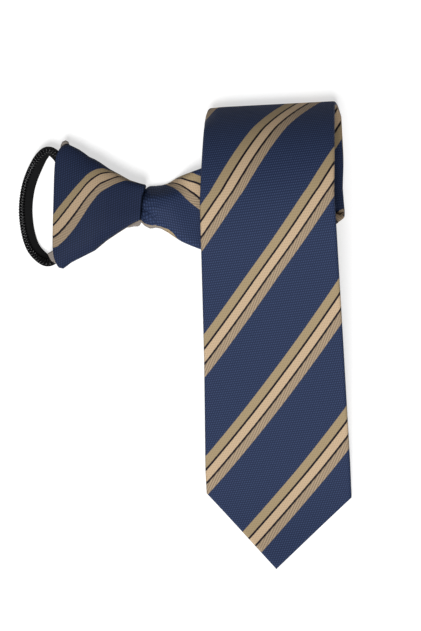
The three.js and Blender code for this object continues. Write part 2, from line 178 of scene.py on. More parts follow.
def direction(degrees):
    """A level unit vector, turned from x by an angle in degrees."""
    angle = math.radians(degrees)
    return np.array([math.cos(angle), math.sin(angle), 0.0])


def follow(bends, start):
    """Follows bends (length, turn) from a start (s, y, z, heading), and returns the point after each."""
    ends = [start]
    for length, turn in bends:
        s, y, z, heading = ends[-1][:4]
        after = heading + turn
        if abs(turn) < 1e-9:
            dy, dz = length * math.cos(heading), length * math.sin(heading)
        else:
            radius = length / turn
            dy = radius * (math.sin(after) - math.sin(heading))
            dz = radius * (math.cos(heading) - math.cos(after))
        ends.append((s + length, y + dy, z + dz, after, length, turn))
    return ends


def side_profile():
    """The blade seen from the side, from its tip to the back layer on the floor."""
    loop = [(share * FOLD_HEIGHT, math.radians(turn)) for share, turn in LOOP]
    flat = (0.0, 0.0, 0.0, 0.0)
    run = follow(loop, flat)[-1]
    steep = -run[3]
    height = FOLD_HEIGHT - CLOTH / 2
    radius = (height + run[2]) / (1 + math.cos(steep))
    reach = run[1] + radius * (1 - math.sin(steep))
    low, high = 0.0, math.pi / 3
    for _ in range(HALVINGS):
        angle = (low + high) / 2
        end = follow([(share, turn * angle) for share, turn in RISE], flat)[-1]
        if end[2] / end[1] < height / (FRONT_LENGTH - reach):
            low = angle
        else:
            high = angle
    end = follow([(share, turn * low) for share, turn in RISE], flat)[-1]
    length = (FRONT_LENGTH - reach) / end[1]
    rise = [(share * length, turn * low) for share, turn in RISE]
    under = math.pi - steep
    ends = follow(rise + loop + [(radius * under, -under)], (0.0, 0.0, CLOTH / 2, 0.0))
    outside = ends[-2][0] + radius * (math.pi / 2 - steep)
    return {"ends": ends, "crown": length, "bend": ends[-2][0], "outside": outside, "down": ends[-1][0]}


PROFILE = side_profile()
ALONG_FOLD = direction(FOLD_TILT)
UP_BLADE = direction(FOLD_TILT + 90)
BEYOND_CREASE = direction(CREASE_TILT - 90)


def profile_at(s):
    """How far up the blade and how high the cloth's middle is at s."""
    ends = PROFILE["ends"]
    after = next((i for i, end in enumerate(ends) if end[0] >= s), None)
    if after is None:
        return ends[-1][1] - (s - ends[-1][0]), ends[-1][2]
    if after == 0:
        return ends[0][1] + s, ends[0][2]
    share = (s - ends[after - 1][0]) / ends[after][4]
    point = follow([(ends[after][4] * share, ends[after][5] * share)], ends[after - 1][:4])[-1]
    return point[1], point[2]


def lean_at(s):
    return read(FLAT_BLADE, LEAN, s / BLADE_LENGTH) * TIP_WIDTH


def half_width_at(s):
    return read(FLAT_BLADE, WIDTH, s / BLADE_LENGTH) * TIP_WIDTH / 2


TIP = (
    np.array([BLADE_ACROSS, FOLD_ABOVE, 0.0])
    - UP_BLADE * FRONT_LENGTH
    - ALONG_FOLD * lean_at(PROFILE["outside"])
)


def over_fold(a, s):
    """A point of the flat blade once it is rolled over the fold."""
    y, z = profile_at(s)
    point = TIP + ALONG_FOLD * a + UP_BLADE * y
    point[2] = z
    return point


CREASE_AT = PROFILE["outside"] + BACK_LENGTH
CREASE_MIDDLE = over_fold(lean_at(CREASE_AT), CREASE_AT)
CREASE_RADIUS = (CLOTH + 2 * HEM + CHAIN_RIDGE + GAP / 2) / 2
CREASE_SLANT = FOLD_TILT - CREASE_TILT
OVER_ROLL = math.pi * CREASE_RADIUS / math.cos(math.radians(CREASE_SLANT))
STRAIGHT_AT = max(TIP_DEPTH_LEFT, TIP_DEPTH_RIGHT) + PAST_CORNERS


def laid_out(a, s):
    """The same point with what lies beyond the crease turned up and back."""
    point = over_fold(a, s)
    beyond = float((point - CREASE_MIDDLE) @ BEYOND_CREASE)
    if s < PROFILE["down"] or beyond <= 0:
        return point
    angle = min(beyond / CREASE_RADIUS, math.pi)
    rest = max(beyond - math.pi * CREASE_RADIUS, 0)
    turned = point + BEYOND_CREASE * (CREASE_RADIUS * math.sin(angle) - rest - beyond)
    turned[2] = point[2] + CREASE_RADIUS * (1 - math.cos(angle))
    return turned


def ruling(s, slant, across):
    """Points (a, s) of a line across the flat blade, slanted by an angle in degrees."""
    rise = math.tan(math.radians(slant))
    ends = []
    for side in (-1, 1):
        at = s
        for _ in range(12):
            at = s + (lean_at(at) + side * half_width_at(at) - lean_at(s)) * rise
        ends.append(np.array([lean_at(at) + side * half_width_at(at), at]))
    return ends[0] + (ends[1] - ends[0]) * ((across + 1) / 2)[:, None]


def tip_depth(across):
    """How far from the tip's point its edge lies, at shares of the half width."""
    return np.abs(across) * np.where(across < 0, TIP_DEPTH_LEFT, TIP_DEPTH_RIGHT)


def tip_line(share, s, across):
    """A line across the tip, from its pointed end at 0 to a straight ruling at 1."""
    line = ruling(s, 0, across)
    depth = tip_depth(across)
    line[:, 0] += APEX_OFFSET * (1 - np.abs(across)) * (1 - share)
    line[:, 1] = depth + (s - depth) * share
    return line


# How much cloth lies between the tip and s, once the bias stretch of the narrower blade is taken out
STRETCH_S = np.linspace(0, BLADE_LENGTH, 1200)
STRETCH_STEP = half_width_at((STRETCH_S[1:] + STRETCH_S[:-1]) / 2) * 2 / TIP_WIDTH * np.diff(STRETCH_S)
STRETCH_V = np.concatenate([[0], np.cumsum(STRETCH_STEP)])


def v_at(s):
    return np.interp(s, STRETCH_S, STRETCH_V)


def cloth_at(a, s):
    """Millimetres across and along the cloth as woven, for points of the flat blade."""
    u = (a - lean_at(s)) * TIP_WIDTH / (2 * half_width_at(s))
    return u, v_at(s)


def across_points(count):
    """Places from -1 to 1 across a piece of cloth, closer together near its edges."""
    t = np.linspace(-1, 1, count)
    return 0.55 * np.sin(t * math.pi / 2) + 0.45 * t


def blade_lines(across):
    """Lines across the flat blade, from its tip to just past the crease."""
    shares = np.concatenate([np.linspace(0, 0.12, 8), np.linspace(0.16, 1, 16)])
    lines = [tip_line(share, STRAIGHT_AT, across) for share in shares]
    stops = [STRAIGHT_AT, PROFILE["crown"], PROFILE["bend"], PROFILE["down"]]
    for low, high, count in zip(stops, stops[1:], (62, 40, 18)):
        lines += [ruling(s, 0, across) for s in np.linspace(low, high, count)[1:]]
    for k in np.linspace(0, 1, 22)[1:]:
        s = PROFILE["down"] + (CREASE_AT - PROFILE["down"]) * k
        lines.append(ruling(s, CREASE_SLANT * smooth(k, 0, 1), across))
    for s in np.linspace(CREASE_AT, CREASE_AT + OVER_ROLL, 20)[1:]:
        lines.append(ruling(s, CREASE_SLANT, across))
    lines.append(ruling(CREASE_AT + OVER_ROLL + CLOTH, CREASE_SLANT, across))
    return lines


def blade_rows(across):
    """The blade's rows: middle points, u, v, distance from the edge, stripe phase and bare backing."""
    rows = []
    tip_lean = math.cos(math.atan2(TIP_DEPTH_LEFT, TIP_WIDTH / 2))
    lines = blade_lines(across)
    for line in lines:
        points = np.array([laid_out(a, s) for a, s in line])
        u, v = cloth_at(line[:, 0], line[:, 1])
        half = half_width_at(line[:, 1])
        in_tip = line[:, 1] < STRAIGHT_AT
        from_tip = np.where(in_tip, (line[:, 1] - tip_depth(across)) * tip_lean, np.inf)
        edge = np.minimum((1 - np.abs(across)) * half, from_tip)
        rows.append((points, u, v, np.maximum(edge, 0), stripe_phase(u, v), np.zeros(len(u))))
    return rows + strip_rows(across, lines[-1], rows[-1][0])


# The strip's stripe, where it shows: distance from the knot in millimetres, then how far down the strip,
# as shares of its visible width, its upper edge, its two lines, its lower edge and the next stripe lie
STRIP_STRIPE = np.array([
    [-4.0, -0.6, -0.5, -0.4, -0.3, 0.93],
    [3.5, -0.42, -0.32, -0.22, -0.12, 0.9],
    [8.5, -0.3, -0.2, -0.06, 0.0, 0.92],
    [10.0, -0.2, -0.1, 0.01, 0.032, 0.92],
    [13.5, -0.12, -0.02, 0.079, 0.131, 0.905],
    [16.0, -0.07, 0.012, 0.104, 0.191, 0.93],
    [18.5, -0.03, 0.047, 0.145, 0.269, 1.0],
    [21.0, -0.015, 0.083, 0.201, 0.353, 1.05],
    [23.5, 0.023, 0.125, 0.265, 0.417, 1.1],
    [26.0, 0.063, 0.161, 0.321, 0.47, 1.15],
    [29.5, 0.12, 0.22, 0.41, 0.535, 1.2],
])
FOLLOWING = 5
SHOWN_TO = 31.0
HIDDEN_FROM = 46.0
BELOW_PACE = 1.6  # phase for one strip width below the next stripe's edge


def group_phase(at, upper, first, second, lower):
    """The phase at a height, where a stripe's upper edge, two lines and lower edge lie at these heights."""
    phase = UPPER_LINE + (STRIPE_SHARE - UPPER_LINE) * (at - first) / (upper - first)
    between = LOWER_LINE + (UPPER_LINE - LOWER_LINE) * (at - second) / (first - second)
    phase = np.where(at < first, between, phase)
    return np.where(at < second, LOWER_LINE * (at - lower) / (second - lower), phase)


def shown_phase(points, down):
    """The stripe phase that the table gives on the strip."""
    x = np.clip(points[:, 0], STRIP_STRIPE[0, 0], STRIP_STRIPE[-1, 0])
    upper, first, second, lower, following = (-read(STRIP_STRIPE, k, x) for k in range(1, 6))
    height = -down
    phase = group_phase(height, upper, first, second, lower)
    navy = (STRIPE_SHARE - 1) * (lower - height) / (lower - following)
    phase = np.where(height < lower, navy, phase)
    return phase - BELOW_PACE * np.maximum(following - height, 0)


def join_phases(rows, shown):
    """Each strip row's phase: the table's near the knot, and the cloth's own where the blade hides it."""
    middle = np.array([row[0][:, 0].mean() for row in rows])
    between = np.argmin(np.abs(middle - (SHOWN_TO + HIDDEN_FROM) / 2))
    whole = round(float(np.mean(rows[between][4] - shown[between])))
    joined = []
    for row, table_phase in zip(rows, shown):
        hidden = smooth(row[0][:, 0], SHOWN_TO, HIDDEN_FROM)
        phase = (table_phase + whole) * (1 - hidden) + row[4] * hidden
        joined.append(row[:4] + (phase, row[5]))
    return joined


# The strip's outline near the knot, in millimetres: distance from the knot, upper edge and lower edge
STRIP_OUTLINE = np.array([
    [-4.0, 7.4, -7.4],
    [-0.8, 7.6, -8.3],
    [0.4, 8.3, -9.8],
    [1.4, 9.1, -11.2],
    [4.0, 10.1, -12.3],
    [6.5, 10.3, -11.7],
    [9.5, 10.1, -12.1],
    [13.5, 11.9, -14.4],
    [16.0, 13.0, -16.1],
    [20.0, 14.8, -18.8],
    [24.5, 16.7, -21.2],
    [27.5, 17.9, -22.5],
    [30.0, 18.9, -23.4],
])
# The weave's directions on the strip: how u and v grow with the distance from the knot and across the strip
WEAVE_ALONG = (0.288, 1.034)
WEAVE_ACROSS = (-0.96, 0.157)
OUTLINE_TO = (30, 42)  # the outline holds up to here, and fades out up to there
FLOOR_GAP = 0.05
# The bare backing below the next stripe's edge: its reach from the knot and round the edge, and its blend
BACKING_TO = (8, 13)
BACKING_ROUND = 1.3
BACKING_BLEND = 0.005


def strip_section(across, half, curl):
    """Across the curled strip: distances along the cloth, out and down, and the cloth's half width."""
    curled = math.pi * min(curl / FULL_CURL, 1)
    straight = half - (CURL_RADIUS + CLOTH / 2) * math.sin(min(curled, math.pi / 2))
    back_run = (straight - GAP) * max((curl - FULL_CURL) / (1 - FULL_CURL), 0)
    ribbon = straight + CURL_RADIUS * curled + back_run
    along = np.abs(across) * ribbon
    angle = np.clip((along - straight) / CURL_RADIUS, 0, curled)
    back = np.maximum(along - straight - CURL_RADIUS * curled, 0)
    out = np.minimum(along, straight) + CURL_RADIUS * np.sin(angle) - back
    return along, out, CURL_RADIUS * (1 - np.cos(angle)), ribbon


def in_outline(y, middle, reach):
    """Moves y into the outline near the knot. reach leads from the strip's middle to its upper edge."""
    top, low = middle[1] + reach[1], middle[1] - reach[1]
    wanted_top = read(STRIP_OUTLINE, 1, middle[0] + reach[0])
    wanted_low = read(STRIP_OUTLINE, 2, middle[0] - reach[0])
    moved = wanted_low + (y - low) / (top - low) * (wanted_top - wanted_low)
    return y + fade(middle[0], *OUTLINE_TO) * (moved - y)


def strip_rows(across, first_line, first):
    """The rows of the strip between the crease and the knot."""
    side = np.sign(across)
    start_half = np.linalg.norm(first[-1] - first[0]) / 2
    start = (first[0] + first[-1]) / 2
    end = np.array([-TUCK, 0, start[2] + STRIP_RISE])
    far = np.linalg.norm(start - end)
    leave = start - BEYOND_CREASE * far * CREASE_HANDLE
    arrive = end + np.array([far * PATH_HANDLE, 0, 0])
    cloth_heading = 2 * CREASE_TILT - (FOLD_TILT - 90)
    middle_a, middle_s = (first_line[0] + first_line[-1]) / 2
    before = start
    rows, shown = [], []
    for t in np.linspace(0, 1, 74)[1:]:
        weights = ((1 - t) ** 3, 3 * (1 - t) ** 2 * t, 3 * (1 - t) * t * t, t**3)
        middle = sum(weight * point for weight, point in zip(weights, (start, leave, arrive, end)))
        middle[2] = start[2] + STRIP_RISE * read(STRIP, LIFT, t)
        over_angle = CREASE_TILT + (90 - CREASE_TILT) * read(STRIP, TURN, t)
        over = direction(over_angle)
        heading = cloth_heading + (180 - cloth_heading) * read(STRIP, TURN, t)
        step = middle - before
        middle_s += float(step @ direction(heading))
        middle_a += float(step @ direction(heading - 90))
        before = middle.copy()
        reach = read(STRIP, REACH, t)
        half = start_half * (1 - reach) + TUCK_HALF_WIDTH * reach
        along, out, down, ribbon = strip_section(across, half, read(STRIP, CURL, t))
        points = middle + over * (side * out)[:, None]
        points[:, 1] = in_outline(points[:, 1], middle, half * over)
        points[:, 2] = middle[2] - down + strip_relief(points, side * out / half)
        points[:, 2] = np.maximum(points[:, 2], CLOTH / 2 + FLOOR_GAP)
        skew = math.radians(heading - 90 - over_angle)
        arc = side * along
        s = middle_s - arc * math.sin(skew)
        u, v = cloth_at(middle_a + arc * math.cos(skew), s)
        v = v + np.maximum(s - BLADE_LENGTH, 0) * FLAT_BLADE[-1, WIDTH]
        phase = stripe_phase(u, v)
        x = points[:, 0]
        hidden = smooth(x, SHOWN_TO, HIDDEN_FROM)
        u = (WEAVE_ALONG[0] * x + WEAVE_ACROSS[0] * arc) * (1 - hidden) + u * hidden
        v = (WEAVE_ALONG[1] * x + WEAVE_ACROSS[1] * arc) * (1 - hidden) + v * hidden
        share = 0.5 - arc / (2 * half)
        shown.append(shown_phase(points, share))
        below = share - read(STRIP_STRIPE, FOLLOWING, x)
        backing = smooth(below, -BACKING_BLEND, BACKING_BLEND) * fade(x, *BACKING_TO)
        rows.append((points, u, v, np.maximum(ribbon - along, 0), phase, backing * (share < BACKING_ROUND)))
    return join_phases(rows, shown)


# The knot's narrow end: share of the half width, and how far the edge there lies from the end, in millimetres
KNOT_END = np.array([
    [-1.0, -1.3],
    [-0.5, -1.1],
    [0.0, -0.8],
    [0.4, -0.45],
    [0.6, 0.0],
    [0.85, 0.9],
    [1.0, 1.4],
])

# The strip's relief near the knot: its dip into the knot, its swelling, and how fast its upper part falls
# away past a ridge, which starts at a height and climbs with the distance from the knot
KNOT_DIP = 11.0
STRIP_SWELLING = 3.6
RIDGE_FALL = 1.25
RIDGE_START, RIDGE_CLIMB, RIDGE_ROUND = 1.6, 0.13, 0.7
# Its furrows: depth, start below the middle, bend, half width, and the distances where they fade and end
FURROWS = [(1.2, 2.2, 0.1, 1.0, 4.0, 9.5), (0.8, 6.6, 0.16, 0.8, 2.5, 6.0)]
# Its pleats fan out from a point inside the knot: depth, waves and their start in radians, and reach
PLEAT_FROM = (-4.0, -3.0)
PLEAT_DEPTH, PLEAT_TURNS, PLEAT_START = 0.22, 13.0, 0.6
PLEAT_REACH, PLEAT_SPREAD = 9, 6.5


def strip_relief(points, across):
    """How far the strip stands off its flat shape: down into the knot, down past its ridge, and in pleats."""
    x, y = points[:, 0], points[:, 1]
    from_knot = x - read(KNOT_END, 1, y / KNOT_END_HALF_WIDTH)
    dip = -KNOT_DIP * (1 - smooth(from_knot, -0.3, 2.5) ** 0.45)
    near = smooth(x, 0.5, 5.0) * fade(x, 13.0, 27.0)
    swelling = STRIP_SWELLING * near * (np.maximum(1 - across**2, 0) - 0.3)
    past_ridge = np.logaddexp(0, (y - RIDGE_START - RIDGE_CLIMB * x) / RIDGE_ROUND) * RIDGE_ROUND
    away = -RIDGE_FALL * past_ridge * smooth(x, -1.0, 2.0) * fade(x, 11.0, 25.0)
    folds = np.zeros(len(x))
    for depth, start, bend, width, fades_from, ends_at in FURROWS:
        off = (y + start + bend * x * x) / width
        folds -= depth * np.exp(-(off**2)) * fade(x, fades_from, ends_at)
    from_x, from_y = x - PLEAT_FROM[0], y - PLEAT_FROM[1]
    wave_at = PLEAT_TURNS * np.arctan2(from_y, from_x) + PLEAT_START
    off = (np.hypot(from_x, from_y) - PLEAT_REACH) / PLEAT_SPREAD
    folds += PLEAT_DEPTH * np.sin(wave_at) * np.exp(-(off**2))
    return dip + swelling + away + folds * smooth(x, -0.5, 1.0)


def stripe_phase(u, v):
    """Which stripe a point of the cloth is in: a whole number is a stripe's lower edge."""
    return (v - read(STRIPE_RUN, SLOPE, v) * u - read(STRIPE_RUN, START, v)) / STRIPE_PERIOD


WELD_DISTANCE = 2e-6


def add_object(name, data):
    """A new object in the scene."""
    made = bpy.data.objects.new(name, data)
    bpy.context.collection.objects.link(made)
    return made


def mesh_from_grid(name, points, quads, uv_sets):
    """A welded mesh object from points in the tie's own millimetres. uv_sets holds one (x, y) per point."""
    mesh = bpy.data.meshes.new(name)
    mesh.from_pydata(((points + SHIFT) / 1000).tolist(), [], quads)
    for uv_name, uv in uv_sets.items():
        layer = mesh.uv_layers.new(name=uv_name)
        loops = np.zeros(len(mesh.loops), np.int32)
        mesh.loops.foreach_get("vertex_index", loops)
        layer.data.foreach_set("uv", np.asarray(uv, np.float32)[loops].ravel())
    mesh.validate()
    made = add_object(name, mesh)
    for polygon in mesh.polygons:
        polygon.use_smooth = True
    weld(made)
    return made


def weld(made):
    """Joins points that coincide, and turns every face outwards."""
    edit = bmesh.new()
    edit.from_mesh(made.data)
    bmesh.ops.remove_doubles(edit, verts=edit.verts, dist=WELD_DISTANCE)
    bmesh.ops.dissolve_degenerate(edit, edges=edit.edges, dist=WELD_DISTANCE)
    bmesh.ops.recalc_face_normals(edit, faces=edit.faces)
    edit.to_mesh(made.data)
    edit.free()


def ring_quads(count, width, closed=False):
    """Faces between count rings of width points each. closed joins the last ring to the first."""
    quads = []
    for i in range(count if closed else count - 1):
        after = (i + 1) % count
        for j in range(width):
            k = (j + 1) % width
            quads.append((i * width + j, i * width + k, after * width + k, after * width + j))
    return quads


def end_caps(count, width):
    """The two faces that close the first and the last ring."""
    return [tuple(range(width - 1, -1, -1)), tuple((count - 1) * width + j for j in range(width))]


def unit(rows):
    """Rows of vectors, each made one long."""
    return rows / np.linalg.norm(rows, axis=-1, keepdims=True)


def pairs(first, second):
    """Two arrays of values as one row of two for each point."""
    return np.stack([first.ravel(), second.ravel()], axis=1)


def both_sides(front, behind):
    """Rows that run across the front and back across the reverse, which shares their two ends."""
    return np.concatenate([front, behind[:, ::-1][:, 1:-1]], axis=1)


def rounded(edge, radius):
    """The share of its half thickness that cloth with a round edge has at a distance from that edge."""
    near = np.clip(edge / radius, 0, 1)
    return np.sqrt(np.maximum(1 - (1 - near) ** 2, 0))


def normals_of(grid):
    """Unit normals of a grid of middle points, rows along the cloth and columns across it."""
    along = np.gradient(grid, axis=0)
    over = np.gradient(grid, axis=1)
    normal = np.cross(over, along)
    return normal / np.maximum(np.linalg.norm(normal, axis=2, keepdims=True), 1e-9)


BACK_SHIFT = 0.169  # the stripes on the reverse lie a little further on than the front's
EDGE_ROUND = 1.5
# The seam on the reverse: how far one half stands in, and the blend as a share of the half width
BACK_STEP = 0.225
SEAM_BLEND = 0.03
CORNER_PULL = 5.0  # how far the top fold's left corner is drawn in
PULL_LEAN = 0.12  # how far a pulled corner also moves across, as a share of the pull
# The crease's right end: how far it is raised, widened, and how much further on its stripes are
CREASE_LIFT = 6.4
CREASE_WIDER = 1.0
CREASE_PHASE = 0.17


def round_corner(middle, across):
    """Draws in the left end of the top fold, so that its corner is round."""
    up = (middle - TIP) @ UP_BLADE
    top = up.max()
    high = smooth(up, top - 12, top)
    near = np.clip((-across - 0.74) / 0.26, 0, 1) ** 2
    raised = smooth(middle[..., 2], 6, 14)
    pull = CORNER_PULL * high * near[None, :] * raised
    return middle - UP_BLADE * pull[..., None] - ALONG_FOLD * (PULL_LEAN * pull)[..., None]


def on_back_layer(middle):
    """1 on the layer that lies on the floor, and 0 on the front above it and at the tip."""
    return smooth(middle[..., 1], -50, -35) * fade(middle[..., 2], 9, 13)


def lift_crease_end(middle):
    """Raises the right end of the crease and widens the layer there, where it shows beside the front."""
    x, y = middle[..., 0], middle[..., 1]
    low = on_back_layer(middle)
    pull = CREASE_LIFT * low * smooth(x, 78, 98) * fade(y, -6, 28)
    out = CREASE_WIDER * low * smooth(x, 84, 98) * fade(y, 15, 60) - PULL_LEAN * pull
    return middle + UP_BLADE * pull[..., None] + ALONG_FOLD * out[..., None]


def corner_phase(middle):
    """How much further on the stripes are at the crease's right end, where the next group begins."""
    x, y = middle[..., 0], middle[..., 1]
    return CREASE_PHASE * on_back_layer(middle) * smooth(x, 88, 95) * fade(y, -5, 1)


def build_blade():
    """The blade's cloth, with round edges and the low step of a seam on its reverse."""
    across = across_points(71)
    middle, u, v, edge, phase, plain = (np.array(column) for column in zip(*blade_rows(across)))
    middle = lift_crease_end(round_corner(middle, across))
    phase = phase + corner_phase(middle)
    normal = normals_of(middle)
    half = CLOTH / 2 * rounded(edge, EDGE_ROUND)
    half[-1] = 0
    seam = BACK_STEP * smooth(across, -SEAM_BLEND, SEAM_BLEND)[None, :] * (edge > 2 * EDGE_ROUND)
    ring = both_sides(middle + normal * half[..., None], middle - normal * (half - seam)[..., None])
    back_u = np.where(across >= 0, TIP_WIDTH - u, -TIP_WIDTH - u)
    back_phase = phase + read(STRIPE_RUN, SLOPE, v) * (u - back_u) / STRIPE_PERIOD
    back_phase += BACK_SHIFT * smooth(v, v_at(PROFILE["crown"]), v_at(PROFILE["outside"]))
    uv_sets = {
        "cloth": pairs(both_sides(u, back_u), both_sides(v, v)) / 100,
        "stripe": pairs(both_sides(phase, back_phase), both_sides(plain, plain)),
    }
    quads = ring_quads(*ring.shape[:2])
    return mesh_from_grid("blade_cloth", ring.reshape(-1, 3), quads, uv_sets)


# The knot's cross sections: place, swell and squareness
KNOT = np.array([
    [0.0, 0.0, 3.2],
    [0.05, 0.22, 2.8],
    [0.2, 0.7, 2.4],
    [0.34, 0.95, 2.4],
    [0.47, 1.0, 2.5],
    [0.6, 0.9, 2.7],
    [0.74, 0.62, 3.2],
    [0.88, 0.26, 4.2],
    [1.0, 0.0, 5.0],
])
SWELL, SQUARE = 1, 2
KNOT_FLOOR = 1.7  # the lower wrap lies under the upper one
KNOT_SIDES = 128

# The upper wrap's two sides, narrower where the lower one peeks out: place, and half width as a share
KNOT_TOP_SIDE = np.array([
    [0.0, 0.9],
    [0.05, 0.95],
    [0.09, 0.94],
    [0.15, 0.885],
    [0.21, 0.825],
    [0.27, 0.745],
    [0.333, 0.65],
    [0.393, 0.6],
    [0.454, 0.53],
    [0.575, 0.365],
    [0.695, 0.24],
    [0.816, 0.105],
    [0.937, 0.03],
    [1.0, 0.0],
])
KNOT_LOW_SIDE = np.array([
    [0.0, 1.02],
    [0.055, 1.05],
    [0.154, 0.906],
    [0.301, 0.764],
    [0.449, 0.623],
    [0.597, 0.387],
    [0.744, 0.198],
    [0.867, 0.047],
    [0.929, -0.02],
    [1.0, -0.085],
])


def knot_ring(at, inset):
    """One ring of the knot, counter-clockwise seen from its narrow end."""
    upper, lower = read(KNOT_TOP_SIDE, 1, at), read(KNOT_LOW_SIDE, 1, at)
    height = MOUTH_HEIGHT + (KNOT_END_HEIGHT - MOUTH_HEIGHT) * at
    height += read(KNOT, SWELL, at) * (KNOT_HEIGHT - MOUTH_HEIGHT)
    power = 2 / read(KNOT, SQUARE, at)
    angle = 2 * math.pi * np.arange(KNOT_SIDES) / KNOT_SIDES
    c, s = np.cos(angle), np.sin(angle)
    span = KNOT_HALF_WIDTH - KNOT_END_HALF_WIDTH
    half = KNOT_END_HALF_WIDTH + span * np.where(c > 0, upper, lower) - inset
    side = np.sign(c) * np.abs(c) ** power
    lift = np.sign(s) * np.abs(s) ** power
    mouth = -KNOT_LENGTH + MOUTH_SLANT * side + MOUTH_ROUND * np.abs(side) ** 8
    x = mouth + (read(KNOT_END, 1, side) - mouth) * at
    middle, reach = (height + KNOT_FLOOR) / 2, (height - KNOT_FLOOR) / 2
    return np.stack([x, half * side, middle + (reach - inset) * lift], axis=1)


# The knot's stripe: where its upper and lower edges cross the knot, as shares of the half width
KNOT_STRIPE = np.array([
    [0.0, -0.165, -0.685],
    [0.03, -0.11, -0.667],
    [0.08, -0.02, -0.632],
    [0.14, 0.09, -0.597],
    [0.195, 0.2, -0.528],
    [0.25, 0.32, -0.44],
    [0.304, 0.45, -0.326],
    [0.358, 0.6, -0.19],
    [0.411, 0.72, -0.043],
    [0.465, 0.83, 0.106],
    [0.517, 0.92, 0.27],
    [0.571, 0.985, 0.391],
    [0.624, 1.08, 0.511],
    [0.7, 1.25, 0.7],
    [0.8, 1.5, 0.97],
    [1.0, 1.95, 1.4],
])
# Where its two thin lines lie: place, and shares of the way from its upper to its lower edge
KNOT_LINES = np.array([
    [0.0, 0.32, 0.69],
    [0.1, 0.29, 0.69],
    [0.23, 0.26, 0.665],
    [0.45, 0.24, 0.66],
    [0.51, 0.2, 0.64],
    [0.57, 0.16, 0.61],
    [0.68, 0.18, 0.58],
    [1.0, 0.3, 0.65],
])
KNOT_WALL = 1.6
SIDE_FROM = 0.93  # the share of the half width where the knot's side begins
# Past the stripe the cloth stays navy: how much phase there is up to a share of the half width
NAVY_ABOVE, NAVY_ABOVE_TO = 0.6, 1.12
NAVY_BELOW, NAVY_BELOW_TO = 0.61, -1.04
# The lips at the knot's two ends: how round they are, and how far they are drawn in
LIP_ROUND = 0.8
MOUTH_LIP_IN, END_LIP_IN = 0.35, 0.3


def knot_phase(at, n):
    """The stripe phase on the knot, at shares n of its half width."""
    top, low = read(KNOT_STRIPE, 1, at), read(KNOT_STRIPE, 2, at)
    first = top + (low - top) * read(KNOT_LINES, 1, at)
    second = top + (low - top) * read(KNOT_LINES, 2, at)
    phase = group_phase(n, top, first, second, low)
    slope = STRIPE_SHARE / (top - low)
    slope_above = min(slope, NAVY_ABOVE / max(NAVY_ABOVE_TO - top, 0.01))
    slope_below = min(slope, NAVY_BELOW / (low - NAVY_BELOW_TO))
    phase = np.where(n > top, STRIPE_SHARE + slope_above * (n - top), phase)
    return np.where(n < low, slope_below * (n - low), phase)


def round_knot(ring):
    """How far round the knot a ring's points are: shares of its half width from the top's middle."""
    y, z = ring[:, 1], ring[:, 2]
    side = np.where(y >= 0, y.max(), -y.min())
    share = np.abs(y) / side
    middle = (z.max() + z.min()) / 2
    height = np.abs(z - middle)
    edge = np.interp(SIDE_FROM, np.sort(share), height[np.argsort(share)])
    above = share + np.maximum(edge - height, 0) / side
    n = np.where(z < middle, 2 * (1 + edge / side) - above, above)
    return np.where(y < 0, -n, n)


def build_knot():
    """The knot's wrap: rings along its inside, round its mouth, along its outside and round its end."""
    places = np.concatenate([np.linspace(0, 0.04, 6), np.linspace(0.06, 0.97, 56), np.linspace(0.98, 1, 5)])
    rings, phases, cloth = [], [], []
    lip = KNOT_WALL / 2

    def add(at, inset, shift=0.0):
        ring = knot_ring(at, inset)
        ring[:, 0] += shift
        outer = knot_ring(at, 0)
        rings.append(ring)
        phases.append(knot_phase(at, round_knot(outer)))
        cloth.append(outer[:, [1, 0]] / 100)

    turns = [math.pi * k / 6 for k in range(1, 6)]
    for at in places[::-1]:
        add(at, KNOT_WALL)
    for turn in turns:
        add(0.0, lip + lip * math.cos(turn), MOUTH_LIP_IN - lip * LIP_ROUND * math.sin(turn))
    for at in places:
        add(at, 0.0)
    for turn in turns:
        add(1.0, lip - lip * math.cos(turn), lip * LIP_ROUND * math.sin(turn) - END_LIP_IN)
    phase = np.concatenate(phases)
    uv_sets = {"cloth": np.concatenate(cloth), "stripe": pairs(phase, np.zeros_like(phase))}
    quads = ring_quads(len(rings), KNOT_SIDES, closed=True)
    return mesh_from_grid("knot_wrap", np.concatenate(rings), quads, uv_sets)


# The knot's lower wrap, seen from above: x, upper y and lower y in the tie's own millimetres
KNOT_UNDER = np.array([
    [-47.3, -24.3, -24.6],
    [-46.5, -23.9, -26.2],
    [-45.5, -23.3, -28.0],
    [-44.5, -22.7, -28.8],
    [-43.7, -22.0, -29.2],
    [-42.4, 8.0, -29.5],
    [-41.3, 25.0, -29.8],
    [-40.8, 29.6, -29.8],
    [-40.0, 31.2, -29.8],
    [-38.5, 32.0, -29.6],
    [-37.0, 31.3, -29.2],
    [-36.3, 29.6, -28.8],
    [-35.5, 27.6, -28.2],
    [-31.5, 24.0, -26.0],
    [-21.5, 17.5, -19.0],
    [-11.5, 12.5, -12.2],
    [-8.0, 10.5, -11.3],
    [-6.5, 9.6, -11.3],
    [-4.5, 8.8, -10.8],
    [-2.5, 8.0, -10.8],
    [-1.5, 7.5, -10.2],
    [-0.8, 7.0, -8.8],
    [-0.4, 6.0, -7.6],
])
UNDER_THICKNESS = 1.6
# How far its nub at the top and its wedge at the mouth's lower corner are raised
NUB_RISE = 6.5
WEDGE_RISE = 7.0


